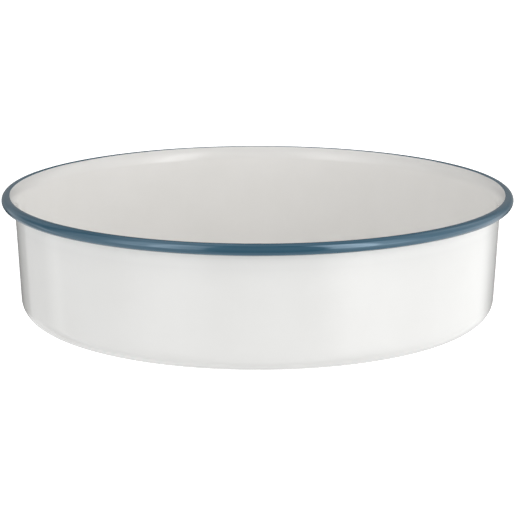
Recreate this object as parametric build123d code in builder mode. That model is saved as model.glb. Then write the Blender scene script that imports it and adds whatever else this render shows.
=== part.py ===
# Round enamelled-steel pie dish, 260 mm across the rim and 63 mm high.
#
# One sheet-steel pressing carries everything: a floor, a rounded corner, a drafted wall, and a
# rim that flares out over a neck and curls under into a hollow bead. Enamel is fused on it in
# layers: a thin ground coat over all of the steel, a white coat on each side, and a blue coat
# around the bead. Nothing is fastened and nothing moves.
#
# Millimetres and degrees. The origin is at the centre of the resting plane, +Z up. Every piece
# is turned about Z from a section in the XZ plane. Each face of a layer runs at one depth in
# the sheet, so neighbouring layers share their faces.

from build123d import *

import os
from math import acos, atan2, cos, degrees, radians, sin

# Overall sizes, measured over the enamel
rim_diameter = 260.0
dish_height = 63.0
bead_diameter = 5.8
bead_set_off = 0.8  # from the bead in to the outside of the dish at the foot of the neck

# Sheet and enamel
steel_thickness = 0.8
ground_thickness = 0.12
white_thickness = 0.25
blue_thickness = 0.3

# Pressing, with radii on the underside of the steel
wall_draft = 2.6  # degrees
neck_radius = 7.2  # flare from the wall out to the bead
corner_radius = 9.4
resting_ring_width = 13.0  # flat ring that the dish stands on
floor_rise = 1.0  # raised floor above the resting ring
floor_bend_radius = 9.0  # both bends between the resting ring and the raised floor

# Groove under the rim
curl_clearance = 0.2  # from the curled edge of the sheet to the neck
ground_fill_share = 0.2  # how far down the neck the ground coat's fillet reaches
white_fill_share = 0.3  # how far down the neck the white coat's fillet reaches
seam_creep_share = 0.5  # how far the ground coat seals the way from its fillet to the curl

# Depth of each face in the sheet, from the underside of the steel towards the food side
white_under = -(ground_thickness + white_thickness)
ground_under = -ground_thickness
steel_under = 0.0
steel_over = steel_thickness
ground_over = steel_over + ground_thickness
white_over = ground_over + white_thickness
blue_over = ground_over + blue_thickness

# Rim: the arc of the neck runs into the tighter arc of the bead just inside the crest, where
# the white ends and the blue starts
bead_radius = bead_diameter / 2 - blue_over
rim_x = (rim_diameter - bead_diameter) / 2
bead_z = dish_height - bead_diameter / 2
centre_gap = neck_radius - bead_radius
centre_set_off = bead_diameter / 2 + bead_set_off - neck_radius - white_under
join_angle = degrees(acos(centre_set_off / centre_gap))
neck_x = rim_x - centre_set_off
neck_z = bead_z - centre_gap * sin(radians(join_angle))

# Wall: it leans out by its draft, tangent to the neck above it and the corner below it
wall_angle = 180 - wall_draft
lean = radians(wall_draft)
steel_z = -white_under
corner_z = steel_z + corner_radius
wall_shift = (neck_z - corner_z) * sin(lean) + neck_radius + corner_radius
corner_x = neck_x - wall_shift / cos(lean)

# Floor: two equal bends lift it from the resting ring
floor_z = steel_z + floor_rise
bend_angle = degrees(acos(1 - floor_rise / (2 * floor_bend_radius)))
bend_run = 2 * floor_bend_radius * sin(radians(bend_angle))
ring_x = corner_x - resting_ring_width
floor_radius = ring_x - bend_run


def opening(near_side, far_side, opposite_side):
    """Angle of a triangle in degrees, between its near and far sides."""
    squares = near_side**2 + far_side**2 - opposite_side**2
    return degrees(acos(squares / (2 * near_side * far_side)))


def groove_fillet(bead_depth, neck_depth, fill_share):
    """Centre and radius of a fillet in the groove, with its ends on the bead and the neck.

    It touches the neck part of the way down from where the two faces would cross to the wall.
    """
    bead_face_radius = bead_radius + bead_depth
    neck_face_radius = neck_radius + neck_depth
    crossing = join_angle + opening(neck_face_radius, centre_gap, bead_face_radius)
    neck_angle = crossing + fill_share * (wall_angle - crossing)
    aside = centre_gap * cos(radians(neck_angle - join_angle))
    reach = neck_face_radius**2 + centre_gap**2 - bead_face_radius**2
    face_sum = neck_face_radius + bead_face_radius
    radius = (reach / 2 - neck_face_radius * aside) / (face_sum - aside)
    to_neck = neck_face_radius - radius
    x = neck_x + to_neck * cos(radians(neck_angle))
    z = neck_z + to_neck * sin(radians(neck_angle))
    bead_angle = 360 + degrees(atan2(z - bead_z, x - rim_x))
    return (x, z), radius, bead_angle, neck_angle


# Groove: both fillets, the curled edge, and the seam line that the ground coat creeps up to.
# The bead is measured by the angle from its centre, from the join over the crest, and round.
ground_fillet = groove_fillet(ground_over, ground_under, ground_fill_share)
white_fillet = groove_fillet(blue_over, white_under, white_fill_share)
ground_bead_angle, ground_neck_angle = ground_fillet[2:]
white_bead_angle, white_neck_angle = white_fillet[2:]
curl_radius = bead_radius + steel_over
curl_opening = 180 - opening(centre_gap, curl_radius, neck_radius - curl_clearance)
curl_angle = join_angle + curl_opening
seam_angle = ground_bead_angle + seam_creep_share * (curl_angle - ground_bead_angle)
seam_x = rim_x + curl_radius * cos(radians(seam_angle))
seam_z = bead_z + curl_radius * sin(radians(seam_angle))
seam_neck_angle = degrees(atan2(seam_z - neck_z, seam_x - neck_x))


def draw_bead(depth, last_angle, first_angle=join_angle + 360):
    """Draw a face of the bead clockwise, by default from the join, and return its arc."""
    centre = (rim_x, bead_z)
    return CenterArc(centre, bead_radius + depth, first_angle, last_angle - first_angle)


def draw_fillet(fillet):
    """Draw a fillet of the groove from the bead over its top to the neck, and return its arc."""
    centre, radius, bead_angle, neck_angle = fillet
    bead_side = bead_angle - 180
    return CenterArc(centre, radius, bead_side, neck_angle - bead_side)


def draw_sheet(depth, neck_angle):
    """Draw a face of the sheet from the axis out to an angle on the neck.

    Returns the neck's arc, where the face ends.
    """
    upper_centre = (floor_radius, floor_z - floor_bend_radius)
    lower_centre = (ring_x, steel_z + floor_bend_radius)
    corner_centre = (corner_x, corner_z)
    neck_centre = (neck_x, neck_z)
    Line((0, floor_z + depth), (floor_radius, floor_z + depth))
    CenterArc(upper_centre, floor_bend_radius + depth, 90, -bend_angle)
    CenterArc(lower_centre, floor_bend_radius - depth, 270 - bend_angle, bend_angle)
    Line((ring_x, steel_z + depth), (corner_x, steel_z + depth))
    corner = CenterArc(corner_centre, corner_radius - depth, 270, 90 - wall_draft)
    neck = CenterArc(neck_centre, neck_radius + depth, wall_angle, neck_angle - wall_angle)
    Line(corner @ 1, neck @ 0)
    return neck


def draw_middle(lower_depth, upper_depth):
    """Draw the short line on the axis between two faces of the floor."""
    Line((0, floor_z + lower_depth), (0, floor_z + upper_depth))


# The pressing, from the middle of the floor to the edge curled in under the rim
with BuildPart() as steel_body:
    with BuildSketch(Plane.XZ):
        with BuildLine():
            draw_middle(steel_under, steel_over)
            draw_sheet(steel_under, join_angle)
            draw_sheet(steel_over, join_angle)
            hollow = draw_bead(steel_under, curl_angle)
            curl = draw_bead(steel_over, curl_angle)
            Line(hollow @ 1, curl @ 1)
        make_face()
    revolve(axis=Axis.Z)

# The ground coat: all that its outer faces enclose, less the steel and the hollow it seals
with BuildPart() as ground_coat:
    with BuildSketch(Plane.XZ):
        with BuildLine():
            draw_middle(ground_under, ground_over)
            draw_sheet(ground_under, ground_neck_angle)
            draw_sheet(ground_over, join_angle)
            draw_bead(ground_over, ground_bead_angle)
            draw_fillet(ground_fillet)
        make_face()
    revolve(axis=Axis.Z)
    with BuildSketch(Plane.XZ):
        with BuildLine():
            draw_middle(steel_under, steel_over)
            neck = draw_sheet(steel_under, seam_neck_angle)
            draw_sheet(steel_over, join_angle)
            bead = draw_bead(steel_over, seam_angle)
            Line(bead @ 1, neck @ 1)
        make_face()
    revolve(axis=Axis.Z, mode=Mode.SUBTRACT)

# The white coat on the food side, up to the edge of the blue
with BuildPart() as white_inside_coat:
    with BuildSketch(Plane.XZ):
        with BuildLine():
            draw_middle(ground_over, white_over)
            lower_face = draw_sheet(ground_over, join_angle)
            upper_face = draw_sheet(white_over, join_angle)
            Line(lower_face @ 1, upper_face @ 1)
        make_face()
    revolve(axis=Axis.Z)

# The blue coat, over the crest and around the bead
with BuildPart() as blue_rim_coat:
    with BuildSketch(Plane.XZ):
        with BuildLine():
            lower_face = draw_bead(ground_over, white_bead_angle)
            upper_face = draw_bead(blue_over, white_bead_angle)
            Line(lower_face @ 0, upper_face @ 0)
            Line(lower_face @ 1, upper_face @ 1)
        make_face()
    revolve(axis=Axis.Z)

# The white coat on the outside and the underside, up to its fillet in the groove
with BuildPart() as white_outside_coat:
    with BuildSketch(Plane.XZ):
        with BuildLine():
            draw_middle(white_under, ground_under)
            draw_sheet(white_under, white_neck_angle)
            draw_sheet(ground_under, ground_neck_angle)
            draw_fillet(ground_fillet)
            backing = draw_bead(ground_over, ground_bead_angle, white_bead_angle)
            groove = draw_fillet(white_fillet)
            Line(backing @ 0, groove @ 0)
        make_face()
    revolve(axis=Axis.Z)

pieces = {
    "steel_body": steel_body,
    "ground_coat": ground_coat,
    "white_inside_coat": white_inside_coat,
    "blue_rim_coat": blue_rim_coat,
    "white_outside_coat": white_outside_coat,
}
os.makedirs("parts", exist_ok=True)
for name, piece in pieces.items():
    piece.part.label = name
    export_step(piece.part, f"parts/{name}.step")
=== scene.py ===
from collections import namedtuple
from math import acos, atan2, ceil, cos, hypot, pi, radians, sin, sqrt, tau

import bpy
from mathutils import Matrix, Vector, noise


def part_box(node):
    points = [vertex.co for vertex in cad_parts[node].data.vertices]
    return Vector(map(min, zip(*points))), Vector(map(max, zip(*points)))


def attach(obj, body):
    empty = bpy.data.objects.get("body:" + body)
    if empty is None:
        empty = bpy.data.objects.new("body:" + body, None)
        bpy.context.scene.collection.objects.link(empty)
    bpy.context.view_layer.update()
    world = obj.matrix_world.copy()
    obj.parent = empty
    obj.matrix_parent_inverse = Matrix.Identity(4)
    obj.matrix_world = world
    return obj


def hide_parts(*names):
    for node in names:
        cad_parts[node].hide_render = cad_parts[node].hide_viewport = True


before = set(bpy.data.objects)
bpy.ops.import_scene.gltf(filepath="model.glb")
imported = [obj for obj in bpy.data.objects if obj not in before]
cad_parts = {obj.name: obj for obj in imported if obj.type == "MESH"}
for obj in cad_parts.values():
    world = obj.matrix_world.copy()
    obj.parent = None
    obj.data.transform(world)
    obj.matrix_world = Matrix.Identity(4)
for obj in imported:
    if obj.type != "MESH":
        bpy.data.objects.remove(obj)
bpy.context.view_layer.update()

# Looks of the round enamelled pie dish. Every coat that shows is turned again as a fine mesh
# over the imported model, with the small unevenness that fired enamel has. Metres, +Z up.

mm = 0.001

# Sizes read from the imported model, over the enamel
rim_low, rim_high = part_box("blue_rim_coat")
ground_low, ground_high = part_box("ground_coat")
outside_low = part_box("white_outside_coat")[0]
steel_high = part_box("steel_body")[1]
rim_radius = rim_high.x
dish_height = rim_high.z
bead_face_radius = (rim_high.z - rim_low.z) / 2
blue_thickness = rim_high.z - ground_high.z
ground_thickness = ground_high.z - steel_high.z
white_thickness = ground_low.z - outside_low.z

# Sizes of the pressing that no box shows, the same as in the solids
steel_thickness = 0.8 * mm
bead_set_off = 0.8 * mm
neck_radius = 7.2 * mm
wall_draft = radians(2.6)
corner_radius = 9.4 * mm
resting_ring_width = 13 * mm
floor_rise = 1 * mm
floor_bend_radius = 9 * mm
white_fill_share = 0.3

# Depth of each face in the sheet, from the underside of the steel towards the food side
white_under = -(ground_thickness + white_thickness)
ground_under = -ground_thickness
ground_over = steel_thickness + ground_thickness
white_over = ground_over + white_thickness
blue_over = ground_over + blue_thickness

# Rim, wall, corner and floor, found the same way as in the solids
bead_radius = bead_face_radius - blue_over
rim_x = rim_radius - bead_face_radius
bead_z = dish_height - bead_face_radius
neck_x = rim_x - bead_face_radius - bead_set_off + neck_radius + white_under
centre_gap = neck_radius - bead_radius
join_angle = acos((rim_x - neck_x) / centre_gap)
neck_z = bead_z - centre_gap * sin(join_angle)
wall_angle = pi - wall_draft
steel_z = -white_under
corner_z = steel_z + corner_radius
wall_shift = (neck_z - corner_z) * sin(wall_draft) + neck_radius + corner_radius
corner_x = neck_x - wall_shift / cos(wall_draft)
floor_z = steel_z + floor_rise
bend_angle = acos(1 - floor_rise / (2 * floor_bend_radius))
ring_x = corner_x - resting_ring_width
floor_radius = ring_x - 2 * floor_bend_radius * sin(bend_angle)

# Fineness of the meshes
turns = 384
arc_step = radians(4)
lip_step = radians(1.5)
line_step = 4 * mm
under_lip_steps = 4
axis_reach = 0.01 * mm  # a point nearer to the axis than this lies on it

# Unevenness of the fired enamel, below a least sink that keeps it inside the solids' facets
least_sink = 0.05 * mm
swell_wave = 34 * mm
swell_height = 0.06 * mm
pull_wave = 11 * mm
pull_height = 0.008 * mm

# Edge of the blue on the white
edge_wander = radians(2.4)  # on the bead
edge_wave = 19 * mm  # of the wander, round the rim
back_narrowing = radians(13)  # on the bead
back_reach = radians(55)  # round the rim, to each side of the back
lip_run = radians(16)  # on the bead
lip_root_share = 0.25  # of the white's thickness, from its face down to the root of the lip


def arc(centre, radius, start, end):
    """Points on an arc from one angle to another, in the plane of radius and height."""
    steps = max(2, ceil(abs(end - start) / arc_step))
    angles = [start + (end - start) * step / steps for step in range(steps + 1)]
    return [(centre[0] + radius * cos(a), centre[1] + radius * sin(a)) for a in angles]


def line(start, end):
    """Points inside a straight stretch, without its ends."""
    run = hypot(end[0] - start[0], end[1] - start[1])
    steps = max(1, ceil(run / line_step))
    shares = [step / steps for step in range(1, steps)]
    return [
        (start[0] + (end[0] - start[0]) * s, start[1] + (end[1] - start[1]) * s) for s in shares
    ]


def spread(start, end, step):
    """Evenly spaced values from one to another, no more than a step apart."""
    count = ceil(abs(end - start) / step)
    return [start + (end - start) * number / count for number in range(count + 1)]


def smooth(share):
    """Eases from 0 to 1."""
    share = min(max(share, 0), 1)
    return share * share * (3 - 2 * share)


def rim_point(depth, angle):
    """A point on the neck or, past their join, on the bead, where the sheet faces this angle."""
    if angle > join_angle:
        radius = neck_radius + depth
        return neck_x + radius * cos(angle), neck_z + radius * sin(angle)
    radius = bead_radius + depth
    return rim_x + radius * cos(angle), bead_z + radius * sin(angle)


def sheet_path(depth):
    """A face of the sheet, from the axis over floor, corner and wall to where the neck starts."""
    middle = (0, floor_z + depth)
    upper = arc(
        (floor_radius, floor_z - floor_bend_radius),
        floor_bend_radius + depth,
        pi / 2,
        pi / 2 - bend_angle,
    )
    lower = arc(
        (ring_x, steel_z + floor_bend_radius),
        floor_bend_radius - depth,
        3 * pi / 2 - bend_angle,
        3 * pi / 2,
    )
    corner = arc((corner_x, corner_z), corner_radius - depth, -pi / 2, -wall_draft)
    wall_end = rim_point(depth, wall_angle)
    floor_part = [middle] + line(middle, upper[0]) + upper + lower[1:]
    return floor_part + line(lower[-1], corner[0]) + corner + line(corner[-1], wall_end)


def white_fillet():
    """The fillet in the groove under the rim: centre, radius, and its ends on bead and neck.

    It touches the neck part of the way down from where the two faces would cross to the wall.
    """
    bead_face = bead_radius + blue_over
    neck_face = neck_radius + white_under
    squares = neck_face**2 + centre_gap**2 - bead_face**2
    crossing = join_angle + acos(squares / (2 * neck_face * centre_gap))
    neck_angle = crossing + white_fill_share * (wall_angle - crossing)
    aside = centre_gap * cos(neck_angle - join_angle)
    radius = (squares / 2 - neck_face * aside) / (neck_face + bead_face - aside)
    x = neck_x + (neck_face - radius) * cos(neck_angle)
    z = neck_z + (neck_face - radius) * sin(neck_angle)
    return (x, z), radius, atan2(z - bead_z, x - rim_x), neck_angle


def edge_angle(azimuth):
    """Where the blue starts inside the crest: it wanders, and its band is narrower at the back."""
    spot = Vector((rim_x * cos(azimuth), rim_x * sin(azimuth), dish_height)) / edge_wave
    narrower = back_narrowing * smooth(1 - abs(azimuth - pi / 2) / back_reach)
    return join_angle - narrower + edge_wander * noise.noise(spot)


def blue_depth(angle, edge):
    """Depth of the blue coat's face by its edge: a rounded lip on the white, then full."""
    share = smooth((edge - angle) / lip_run)
    start = white_over - lip_root_share * white_thickness
    return start + (blue_over - start) * sqrt(share)


def ripple(spot):
    """How far the enamel's uneven face lies below its full thickness at a spot of the dish."""
    swell = swell_height * (1 + noise.noise(spot / swell_wave)) / 2
    return least_sink + swell + pull_height * (1 + noise.noise(spot / pull_wave)) / 2


def sink_direction(points, place, azimuth):
    """Square to a section at one of its points, to the right of the way that the points run."""
    before = points[max(place - 1, 0)]
    after = points[min(place + 1, len(points) - 1)]
    across = Vector((after[1] - before[1], 0, before[0] - after[0])).normalized()
    return Vector((across.x * cos(azimuth), across.x * sin(azimuth), across.z))


def new_object(name, data):
    """A new object in the scene."""
    thing = bpy.data.objects.new(name, data)
    bpy.context.scene.collection.objects.link(thing)
    return thing


def lathe(name, section, ends_meet):
    """Turn a section about Z. section gives its points at an azimuth, and which are uneven.

    An uneven point sinks into its coat. A section starts and ends on the axis or, where
    ends_meet is true, meets itself.
    """
    verts, faces, columns = [], [], []
    poles = {}
    for number in range(turns):
        azimuth = tau * number / turns
        points, uneven = section(azimuth)
        column = []
        for place, (x, z) in enumerate(points):
            if x < axis_reach and place in poles:
                column.append(poles[place])
                continue
            spot = Vector((x * cos(azimuth), x * sin(azimuth), z))
            if uneven[place]:
                spot += ripple(spot) * sink_direction(points, place, azimuth)
            if x < axis_reach:
                poles[place] = len(verts)
            column.append(len(verts))
            verts.append(spot)
        columns.append(column)
    count = len(columns[0])
    spans = count if ends_meet else count - 1
    for number in range(turns):
        here, there = columns[number], columns[(number + 1) % turns]
        for place in range(spans):
            beyond = (place + 1) % count
            corners = [here[place], there[place], there[beyond], here[beyond]]
            face = list(dict.fromkeys(corners))
            if len(face) > 2:
                faces.append(face)
    mesh = bpy.data.meshes.new(name)
    mesh.from_pydata(verts, [], faces)
    mesh.polygons.foreach_set("use_smooth", [True] * len(faces))
    mesh.validate()
    return new_object(name, mesh)


# Parts of the sections that are the same all round
inside_face = sheet_path(white_over)
inside_back = sheet_path(ground_over)
outside_face = sheet_path(white_under)
outside_back = sheet_path(ground_under)
neck_angles = spread(wall_angle, join_angle, arc_step)
fillet_centre, fillet_radius, bead_end, neck_end = white_fillet()


def inside_section(azimuth):
    """White on the food side: face from the axis to just under the blue lip, and its back."""
    under_lip = spread(0, 1, 1 / under_lip_steps)[1:]
    end = edge_angle(azimuth) - lip_run
    angles = neck_angles + [join_angle + (end - join_angle) * share for share in under_lip]
    face = inside_face + [rim_point(white_over, angle) for angle in angles]
    back = inside_back + [rim_point(ground_over, angle) for angle in angles]
    return face + back[::-1], [True] * len(face) + [False] * len(back)


def outside_section(azimuth):
    """White on the outside: back from the axis to the groove, then its face down again.

    It is the same at every azimuth.
    """
    angles = spread(wall_angle, neck_end, arc_step)
    fillet = arc(fillet_centre, fillet_radius, neck_end, bead_end + pi)
    face = outside_face + [rim_point(white_under, angle) for angle in angles] + fillet[1:]
    back = outside_back + [rim_point(ground_under, angle) for angle in angles]
    closing = [rim_point(ground_over, bead_end)]
    return back + closing + face[::-1], [False] * (len(back) + 1) + [True] * len(face)


def rim_section(azimuth):
    """Blue: face from its lip over the crest and round the bead, then its back."""
    edge = edge_angle(azimuth)
    shares = spread(0, 1, lip_step / (join_angle - pi / 2))[:-1]
    lip = [edge + (pi / 2 - edge) * share for share in shares]
    bead = spread(pi / 2, bead_end, arc_step)
    face = [rim_point(blue_depth(angle, edge), angle) for angle in lip]
    face += [rim_point(blue_over, angle) for angle in bead]
    back = [rim_point(ground_over, angle) for angle in lip + bead]
    return face + back[::-1], [True] * len(face) + [False] * len(back)


# Finish of the coats: the colour drifts with their thickness, and the face has a fine peel
gloss_roughness = 0.08
glass_index = 1.52
tone_wave = 26 * mm
tone_detail = 4
thin_stop = 0.3
thick_stop = 0.7
peel_wave = 2.6 * mm
peel_detail = 2
fine_peel = 0.003 * mm


def shader_of(material):
    """The shader of a material."""
    return material.node_tree.nodes["Principled BSDF"]


def noise_socket(tree, wave, detail):
    """Solid noise over the object's own coordinates, with the size of its features."""
    place = tree.nodes.new("ShaderNodeTexCoord")
    cloud = tree.nodes.new("ShaderNodeTexNoise")
    cloud.inputs["Scale"].default_value = 1 / wave
    cloud.inputs["Detail"].default_value = detail
    tree.links.new(place.outputs["Object"], cloud.inputs["Vector"])
    return cloud.outputs["Fac"]


def coat_finish(name, thin, thick, roughness=gloss_roughness, index=glass_index, peel=fine_peel):
    """Gloss over a colour that drifts between that of a thin and that of a thick spot."""
    material = bpy.data.materials.new(name)
    material.use_nodes = True
    tree = material.node_tree
    shader = shader_of(material)
    colour = tree.nodes.new("ShaderNodeValToRGB")
    stops = ((thin_stop, thin), (thick_stop, thick))
    for element, (position, tone) in zip(colour.color_ramp.elements, stops):
        element.position = position
        element.color = (*tone, 1)
    tree.links.new(noise_socket(tree, tone_wave, tone_detail), colour.inputs["Fac"])
    tree.links.new(colour.outputs["Color"], shader.inputs["Base Color"])
    shader.inputs["Roughness"].default_value = roughness
    shader.inputs["IOR"].default_value = index
    bump = tree.nodes.new("ShaderNodeBump")
    bump.inputs["Distance"].default_value = peel
    tree.links.new(noise_socket(tree, peel_wave, peel_detail), bump.inputs["Height"])
    tree.links.new(bump.outputs["Normal"], shader.inputs["Normal"])
    return material


def shade_by_height(material, low, high, shade):
    """Let a coat change between two heights, upwards, to a share of its own lightness."""
    tree = material.node_tree
    base = shader_of(material).inputs["Base Color"]
    place = tree.nodes.new("ShaderNodeTexCoord")
    split = tree.nodes.new("ShaderNodeSeparateXYZ")
    tree.links.new(place.outputs["Object"], split.inputs["Vector"])
    share = tree.nodes.new("ShaderNodeMapRange")
    share.inputs["From Min"].default_value = low
    share.inputs["From Max"].default_value = high
    share.inputs["To Min"].default_value = 1
    share.inputs["To Max"].default_value = shade
    tree.links.new(split.outputs["Z"], share.inputs["Value"])
    scaled = tree.nodes.new("ShaderNodeVectorMath")
    scaled.operation = "SCALE"
    tree.links.new(base.links[0].from_socket, scaled.inputs["Vector"])
    tree.links.new(share.outputs["Result"], scaled.inputs["Scale"])
    tree.links.new(scaled.outputs["Vector"], base)


def dress(piece, material, nodes):
    """Give a piece its finish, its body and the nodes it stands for."""
    piece.data.materials.append(material)
    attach(piece, "root")
    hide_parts(*nodes)


def dress_node(node, material):
    """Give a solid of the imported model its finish."""
    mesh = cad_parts[node].data
    mesh.materials.clear()
    mesh.materials.append(material)


# White on the food side. It is painted darker up the neck, as painted shade, where the neck faces
# more of the light than the wall does.
painted_neck_shade = 0.88
cream = coat_finish("cream_enamel", thin=(0.832, 0.82, 0.797), thick=(0.852, 0.84, 0.82))
shade_by_height(cream, neck_z, dish_height, painted_neck_shade)
dress(lathe("inside_enamel", inside_section, False), cream, ["white_inside_coat"])

# White on the outside. It is painted lighter under the rim, as painted light that lifts the shade
# the overhanging bead casts there.
painted_light_height = 6 * mm  # of the wall below the neck
painted_light_share = 1.12
white = coat_finish("white_enamel", thin=(0.8, 0.798, 0.782), thick=(0.818, 0.817, 0.802))
shade_by_height(white, neck_z - painted_light_height, neck_z, painted_light_share)
dress(lathe("outside_enamel", outside_section, False), white, ["white_outside_coat"])

# Blue around the bead, with a stronger and bluer shine than the white
blue_index = 1.95
blue_shine = (0.7, 0.86, 1, 1)
blue = coat_finish(
    "blue_enamel",
    thin=(0.0215, 0.083, 0.131),
    thick=(0.019, 0.075, 0.12),
    index=blue_index,
)
shader_of(blue).inputs["Specular Tint"].default_value = blue_shine
dress(lathe("rim_enamel", rim_section, True), blue, ["blue_rim_coat"])

# Ground coat and steel, under the cover coats
ground_roughness = 0.25
steel_roughness = 0.4
coarse_peel = 0.01 * mm
ground_enamel = coat_finish(
    "ground_enamel",
    thin=(0.03, 0.04, 0.06),
    thick=(0.02, 0.03, 0.05),
    roughness=ground_roughness,
    peel=coarse_peel,
)
sheet_steel = coat_finish(
    "sheet_steel",
    thin=(0.42, 0.42, 0.43),
    thick=(0.5, 0.5, 0.5),
    roughness=steel_roughness,
    peel=coarse_peel,
)
shader_of(sheet_steel).inputs["Metallic"].default_value = 1
dress_node("ground_coat", ground_enamel)
dress_node("steel_body", sheet_steel)

# Floor, a plain white table lit from below
floor_side = 12
floor_grey = 0.7
floor_roughness = 0.7
floor_glow = 0.8
half = floor_side / 2
floor_corners = [(-half, -half, 0), (half, -half, 0), (half, half, 0), (-half, half, 0)]
floor_mesh = bpy.data.meshes.new("floor")
floor_mesh.from_pydata(floor_corners, [], [(0, 1, 2, 3)])
floor = new_object("floor", floor_mesh)
paper = bpy.data.materials.new("floor_paper")
paper.use_nodes = True
shader_of(paper).inputs["Base Color"].default_value = (floor_grey, floor_grey, floor_grey, 1)
shader_of(paper).inputs["Roughness"].default_value = floor_roughness
shader_of(paper).inputs["Emission Color"].default_value = (1, 1, 1, 1)
shader_of(paper).inputs["Emission Strength"].default_value = floor_glow
floor_mesh.materials.append(paper)

# Only the camera sees the floor. The patches below the horizon light the dish as a table would.
floor.visible_glossy = False
floor.visible_diffuse = False
floor.visible_shadow = False

# Studio light, as soft patches of sky round the dish
Patch = namedtuple("Patch", "azimuth elevation half_width half_height side_blur end_blur strength")
whole_turn = 400  # a half width that reaches all the way round, with its blur

# In degrees. Azimuth 0 is towards the camera, and 90 is to its right.
patches = [
    Patch(-35, 24, 12, 36, 3, 12, 1.4),  # left soft box, with a sharp edge towards the middle
    Patch(-50, 20, 13, 36, 11, 9, 1.4),  # and fading outwards
    Patch(42, 24, 11, 36, 3, 12, 2.5),  # right soft box, nearer and brighter
    Patch(57, 18, 13, 36, 11, 9, 1.5),  # and fading outwards
    Patch(4, 26, 27, 34, 4, 12, 0.4),  # room seen between the boxes, behind the camera
    Patch(-76, 24, 20, 32, 12, 12, 0.76),  # card at the left
    Patch(-120, 18, 24, 26, 14, 12, 0.2),  # darker room beyond it
    Patch(100, 20, 32, 34, 12, 10, 0.82),  # card at the right
    Patch(180, 42, 70, 22, 12, 12, 0.33),  # far wall of the room
    Patch(180, 5, 50, 16, 10, 8, 0.3),  # and below it
    Patch(158, -12, 16, 10, 8, 8, 0.1),  # a little lighter low down at the right
    Patch(-110, 66, 65, 10, 12, 8, 0.78),  # ring of the ceiling at the left
    Patch(110, 66, 65, 10, 12, 8, 0.44),  # and at the right
    Patch(0, 90, whole_turn, 14, 8, 8, 0.82),  # ceiling
    Patch(-70, -27, 44, 19, 10, 12, 0.9),  # table top far out, at the left
    Patch(4, -27, 30, 19, 10, 12, 0.23),  # in front, where the camera stands in its light
    Patch(88, -27, 54, 19, 10, 12, 1.15),  # at the right
    Patch(-125, -22, 18, 24, 3, 12, 0.43),  # and behind at the left, up to the table's end
    Patch(0, -68, 60, 22, 14, 12, 0.67),  # table top close by, in front
    Patch(-105, -68, 45, 22, 14, 12, 0.93),  # at the left
    Patch(105, -68, 45, 22, 14, 12, 0.7),  # at the right
    Patch(180, -54, 40, 35, 14, 4, 0.84),  # and behind, up to the table's far end
]


def math_node(tree, operation, first, second=0.0):
    """A maths node on two sockets or numbers."""
    node = tree.nodes.new("ShaderNodeMath")
    node.operation = operation
    for socket, value in zip(node.inputs, (first, second)):
        if isinstance(value, (int, float)):
            socket.default_value = value
        else:
            tree.links.new(value, socket)
    return node.outputs[0]


def edge_mask(tree, value, half_size, blur):
    """1 where an angle is inside a half size, easing to 0 outside it. Sizes in degrees."""
    node = tree.nodes.new("ShaderNodeMapRange")
    node.interpolation_type = "SMOOTHSTEP"
    node.inputs["From Min"].default_value = radians(half_size + blur)
    node.inputs["From Max"].default_value = radians(half_size - blur)
    tree.links.new(math_node(tree, "ABSOLUTE", value), node.inputs["Value"])
    return node.outputs["Result"]


def light_studio(lights):
    """Build the world from soft patches."""
    world = bpy.data.worlds.new("studio")
    bpy.context.scene.world = world
    world.use_nodes = True
    tree = world.node_tree
    place = tree.nodes.new("ShaderNodeTexCoord")
    total = 0
    for light in lights:
        turn = tree.nodes.new("ShaderNodeVectorRotate")
        turn.rotation_type = "Z_AXIS"
        turn.inputs["Angle"].default_value = -radians(light.azimuth)
        tree.links.new(place.outputs["Generated"], turn.inputs["Vector"])
        split = tree.nodes.new("ShaderNodeSeparateXYZ")
        tree.links.new(turn.outputs["Vector"], split.inputs["Vector"])
        toward = math_node(tree, "MULTIPLY", split.outputs["Y"], -1)
        around = math_node(tree, "ARCTAN2", split.outputs["X"], toward)
        above = math_node(tree, "ARCSINE", split.outputs["Z"])
        off = math_node(tree, "SUBTRACT", above, radians(light.elevation))
        across = edge_mask(tree, around, light.half_width, light.side_blur)
        upright = edge_mask(tree, off, light.half_height, light.end_blur)
        mask = math_node(tree, "MULTIPLY", across, upright)
        level = math_node(tree, "MULTIPLY", mask, light.strength)
        total = math_node(tree, "ADD", level, total)
    tree.links.new(total, tree.nodes["Background"].inputs["Color"])


light_studio(patches)

# Camera, at the photograph's place and angle
camera_back = 934.94 * mm
camera_height = 247.01 * mm
camera_pitch = radians(13.264)
picture_side = 515  # pixels
focal_pixels = 1862.1
sensor_width = 36  # millimetres, the unit of a camera's sensor and lens
camera_data = bpy.data.cameras.new("camera")
camera_data.sensor_width = sensor_width
camera_data.lens = focal_pixels / picture_side * sensor_width
camera = new_object("camera", camera_data)
camera.location = (0, -camera_back, camera_height)
camera.rotation_euler = (pi / 2 - camera_pitch, 0, 0)
bpy.context.scene.camera = camera
bpy.context.scene.view_settings.view_transform = "Standard"
